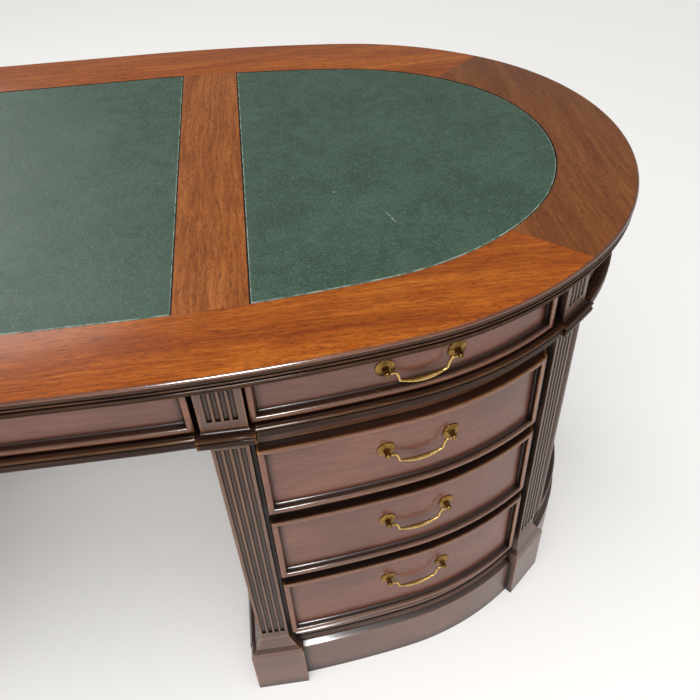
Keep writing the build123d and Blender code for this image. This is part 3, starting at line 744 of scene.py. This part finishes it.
# A block in levels at the inner or outer front pier of the right side
def makeStack(name, levels, bottom, back, outer):
    piece = startPiece(name, bpy.ops.mesh.primitive_cube_add, size=1)
    count = len(levels) - 1
    piece.scale = (2, 1, count)
    piece.location = (0, 0.5, count / 2)
    bpy.ops.object.transform_apply(location=True, rotation=True, scale=True)
    bpy.ops.object.mode_set(mode="EDIT")
    slicePiece(0, count, count, (0, 0, 1))
    bpy.ops.object.mode_set(mode="OBJECT")
    for vertex in piece.data.vertices:
        height, half, front = levels[round(vertex.co.z)]
        inset = front if vertex.co.y < 0.5 else back
        x, y = pierPoint(outer, vertex.co.x * half, inset)
        vertex.co = (x, y, bottom + height)
    return piece


# The same piece in the other three quarters of the desk
def mirrorPiece(piece):
    pieces = [piece]
    for sideX, sideY in ((-1, 1), (1, -1), (-1, -1)):
        twin = piece.copy()
        twin.data = piece.data.copy()
        bpy.context.collection.objects.link(twin)
        for vertex in twin.data.vertices:
            vertex.co = (sideX * vertex.co.x, sideY * vertex.co.y, vertex.co.z)
        pieces.append(twin)
    return pieces


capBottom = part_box("frieze_caps")[0].z
capPieces = []
for outer in (False, True):
    capPieces += mirrorPiece(makeStack("cap", caps["levels"], capBottom, caps["back"], outer))
choose(*capPieces)
bpy.ops.object.join()
capPieces[0].name = "moulded_caps"
closePiece(capPieces[0], "moulding", "desk", caps["smooth"])
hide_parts("frieze_caps")
print("caps made")

# Borders of the top and the reeded moulding under them, in four lengths: the sections are
# (inset, drop) and (inset, height), a joint is a share of a quarter from the middle of the front
# or the back, and a length runs between two joints, each as (quarters, side of them)
borders = {
    "width": 0.1134,
    "jointOuterShare": 0.7081,
    "jointInnerShare": 0.6900,
    "round": [(0.0, 0.0036), (0.0003, 0.0026), (0.0014, 0.0013), (0.0028, 0.0004), (0.0044, 0.0)],
    "reeds": [(0.0006, 0.0260), (0.0, 0.0245), (0.0002, 0.0218), (0.0010, 0.0198), (0.0022, 0.0189),
              (0.0042, 0.0186), (0.0042, 0.0180), (0.0021, 0.0176), (0.0012, 0.0167),
              (0.0011, 0.0153), (0.0018, 0.0141), (0.0032, 0.0134), (0.0050, 0.0130),
              (0.0050, 0.0120), (0.0029, 0.0115), (0.0016, 0.0106), (0.0012, 0.0094),
              (0.0014, 0.0081), (0.0022, 0.0070), (0.0035, 0.0064), (0.0052, 0.0061),
              (0.0052, 0.0053), (0.0038, 0.0050), (0.0034, 0.0042), (0.0037, 0.0033),
              (0.0045, 0.0028), (0.0060, 0.0025), (0.0060, 0.0016), (0.0066, 0.0), (0.030, 0.0),
              (0.030, 0.0260)],
    "slice": 0.012,
    "smooth": 40,
    "lengths": [("front", "topRail", (0, -1), (0, 1)), ("right", "topEnd", (0, 1), (2, -1)),
                ("back", "topRail", (2, -1), (2, 1)), ("left", "topEnd", (2, 1), (4, -1))],
}


# A length of one section (inset, height) along the outline, cut at the joints at both its ends
def makeLength(name, finish, section, joint, start, end, smooth, node):
    piece = startPiece(name, bpy.ops.mesh.primitive_circle_add, vertices=len(section),
                       fill_type="NGON")
    for vertex, (inset, height) in zip(piece.data.vertices, section):
        vertex.co = (0, inset, height)
    bpy.ops.object.mode_set(mode="EDIT")
    bpy.ops.mesh.select_all(action="SELECT")
    bpy.ops.mesh.extrude_region_move(TRANSFORM_OT_translate={"value": (1, 0, 0)})
    reach = (end[0] - start[0] + (end[1] - start[1]) * joint(0)) * quarterRun
    slicePiece(0, 1, round(reach / borders["slice"]), (1, 0, 0))
    bpy.ops.object.mode_set(mode="OBJECT")
    for vertex in piece.data.vertices:
        share, inset, height = vertex.co
        first = (start[0] + start[1] * joint(inset)) * quarterRun
        last = (end[0] + end[1] * joint(inset)) * quarterRun
        x, y = ovalPoint(first + (last - first) * share, inset)
        vertex.co = (x, y, height)
    closePiece(piece, finish, "desk", smooth)
    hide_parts(node)


def slantingJoint(inset):
    outer, inner = borders["jointOuterShare"], borders["jointInnerShare"]
    return outer + (inner - outer) * inset / borders["width"]


def squareJoint(inset):
    return borders["jointOuterShare"]


low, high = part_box("long_borders")
borderSection = [(inset, high.z - drop) for inset, drop in borders["round"]]
borderSection += [(borders["width"], high.z), (borders["width"], low.z), (0, low.z)]
low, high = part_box("edge_moulding")
reedSection = [(inset, low.z + height) for inset, height in borders["reeds"]]
for name, finish, start, end in borders["lengths"]:
    node = "border_ends" if finish == "topEnd" else "long_borders"
    makeLength(name + "_border", finish, borderSection, slantingJoint, start, end,
               borders["smooth"], node)
    makeLength(name + "_reeding", "moulding", reedSection, squareJoint, start, end,
               borders["smooth"], "edge_moulding")
print("borders laid")


# Leather panels: sunk a little, with a dark seam round them and a worn edge
panels = {
    "weld": 0.00002,
    "flat": math.radians(1),
    "drop": 0.0001,
    "seam": 0.0018,
    "seamDepth": 0.0013,
    "lip": 0.0002,
    "lipShare": 0.8,
    "worn": 0.0011,
}


def makePanel(name, node):
    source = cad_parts[node]
    panel = bpy.data.objects.new(name, source.data.copy())
    bpy.context.collection.objects.link(panel)
    choose(panel)
    bpy.ops.object.mode_set(mode="EDIT")
    bpy.ops.mesh.select_all(action="SELECT")
    bpy.ops.mesh.remove_doubles(threshold=panels["weld"])
    bpy.ops.mesh.dissolve_limited(angle_limit=panels["flat"])
    bpy.ops.mesh.select_all(action="DESELECT")
    bpy.ops.object.mode_set(mode="OBJECT")
    panel.data.materials.clear()
    for finish in ("leather", "seam", "leatherEdge"):
        panel.data.materials.append(finishes[finish])
    for face in panel.data.polygons:
        face.material_index = 0
        face.select = face.normal.z > 0.9
    depth, share = panels["seamDepth"], panels["lipShare"]
    steps = [(panels["drop"], -depth, 1), (panels["seam"], 0, 1), (panels["lip"], depth * share, 2),
             (panels["worn"], depth * (1 - share), 2)]
    bpy.ops.object.mode_set(mode="EDIT")
    bpy.ops.mesh.select_mode(type="FACE")
    for width, rise, finish in steps:
        panel.active_material_index = finish
        bpy.ops.object.material_slot_assign()
        bpy.ops.mesh.inset(thickness=width, depth=rise)
    panel.active_material_index = 0
    bpy.ops.object.material_slot_assign()
    bpy.ops.object.mode_set(mode="OBJECT")
    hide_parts(node)
    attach(panel, "desk")


makePanel("leather_centre_panel", "leather_centre")
makePanel("leather_end_panels", "leather_ends")
print("leather laid")

# A pale floor, a window behind, a soft box in front and wide daylight
stage = {
    "floorSize": 16.0,
    "floorColour": rgb(236, 235, 233),
    "floorRoughness": 0.8,
    "worldColour": (1, 0.98, 0.96, 1),
    "worldStrength": 0.25,
    "window": {"place": (-1.15, 1.75, 2.3), "aim": (0.1, -0.35, 0.78), "size": (1.5, 1.1), "power": 20},
    "softBox": {"place": (0.4, -2.3, 2.3), "aim": (0.5, -0.4, 0.6), "size": (0.7, 0.9), "power": 42},
    "daylight": {"power": 2.3, "spread": 70, "tilt": 25, "turn": -20},
}

bpy.ops.object.select_all(action="DESELECT")
bpy.ops.mesh.primitive_plane_add(size=stage["floorSize"], location=(0, 0, 0))
floor = bpy.context.object
floor.name = "studio_floor"
floorFinish = Finish("pale floor")
floorFinish.set(Base_Color=stage["floorColour"], Roughness=stage["floorRoughness"])
floor.data.materials.append(floorFinish.material)


def makeSoftLight(name, facts):
    lamp = bpy.data.lights.new(name, "AREA")
    lamp.shape = "RECTANGLE"
    lamp.size, lamp.size_y = facts["size"]
    lamp.energy = facts["power"]
    holder = bpy.data.objects.new(name, lamp)
    bpy.context.collection.objects.link(holder)
    holder.location = facts["place"]
    way = Vector(facts["aim"]) - Vector(facts["place"])
    holder.rotation_euler = way.to_track_quat("-Z", "Y").to_euler()


def makeDaylight(name, facts):
    lamp = bpy.data.lights.new(name, "SUN")
    lamp.energy = facts["power"]
    lamp.angle = math.radians(facts["spread"])
    holder = bpy.data.objects.new(name, lamp)
    bpy.context.collection.objects.link(holder)
    holder.visible_glossy = False  # its wide disc would veil the polish
    holder.rotation_euler = (math.radians(facts["tilt"]), 0, math.radians(facts["turn"]))


makeSoftLight("window", stage["window"])
makeSoftLight("softBox", stage["softBox"])
makeDaylight("daylight", stage["daylight"])
world = bpy.data.worlds.new("studio")
bpy.context.scene.world = world
world.use_nodes = True
background = world.node_tree.nodes["Background"]
background.inputs["Color"].default_value = stage["worldColour"]
background.inputs["Strength"].default_value = stage["worldStrength"]

# The camera, fitted to the photo: place in metres, angles in degrees
view = {
    "place": (0.4653, -1.0606, 1.3537),
    "yaw": 6.168,
    "pitch": 45.819,
    "roll": 2.511,
    "sensor": 36,
    "lens": 40.003,
    "shiftX": -0.02143,
    "shiftY": 0.07143,
}
lens = bpy.data.cameras.new("photo view")
lens.sensor_width = view["sensor"]
lens.lens = view["lens"]
lens.shift_x = view["shiftX"]
lens.shift_y = view["shiftY"]
camera = bpy.data.objects.new("photo view", lens)
bpy.context.collection.objects.link(camera)
turn = (Matrix.Rotation(math.radians(-view["yaw"]), 4, "Z")
        @ Matrix.Rotation(math.radians(90 - view["pitch"]), 4, "X")
        @ Matrix.Rotation(math.radians(-view["roll"]), 4, "Z"))
camera.matrix_world = Matrix.Translation(view["place"]) @ turn
bpy.context.scene.camera = camera
bpy.context.scene.view_settings.view_transform = "Standard"
print("floor, light and camera set")
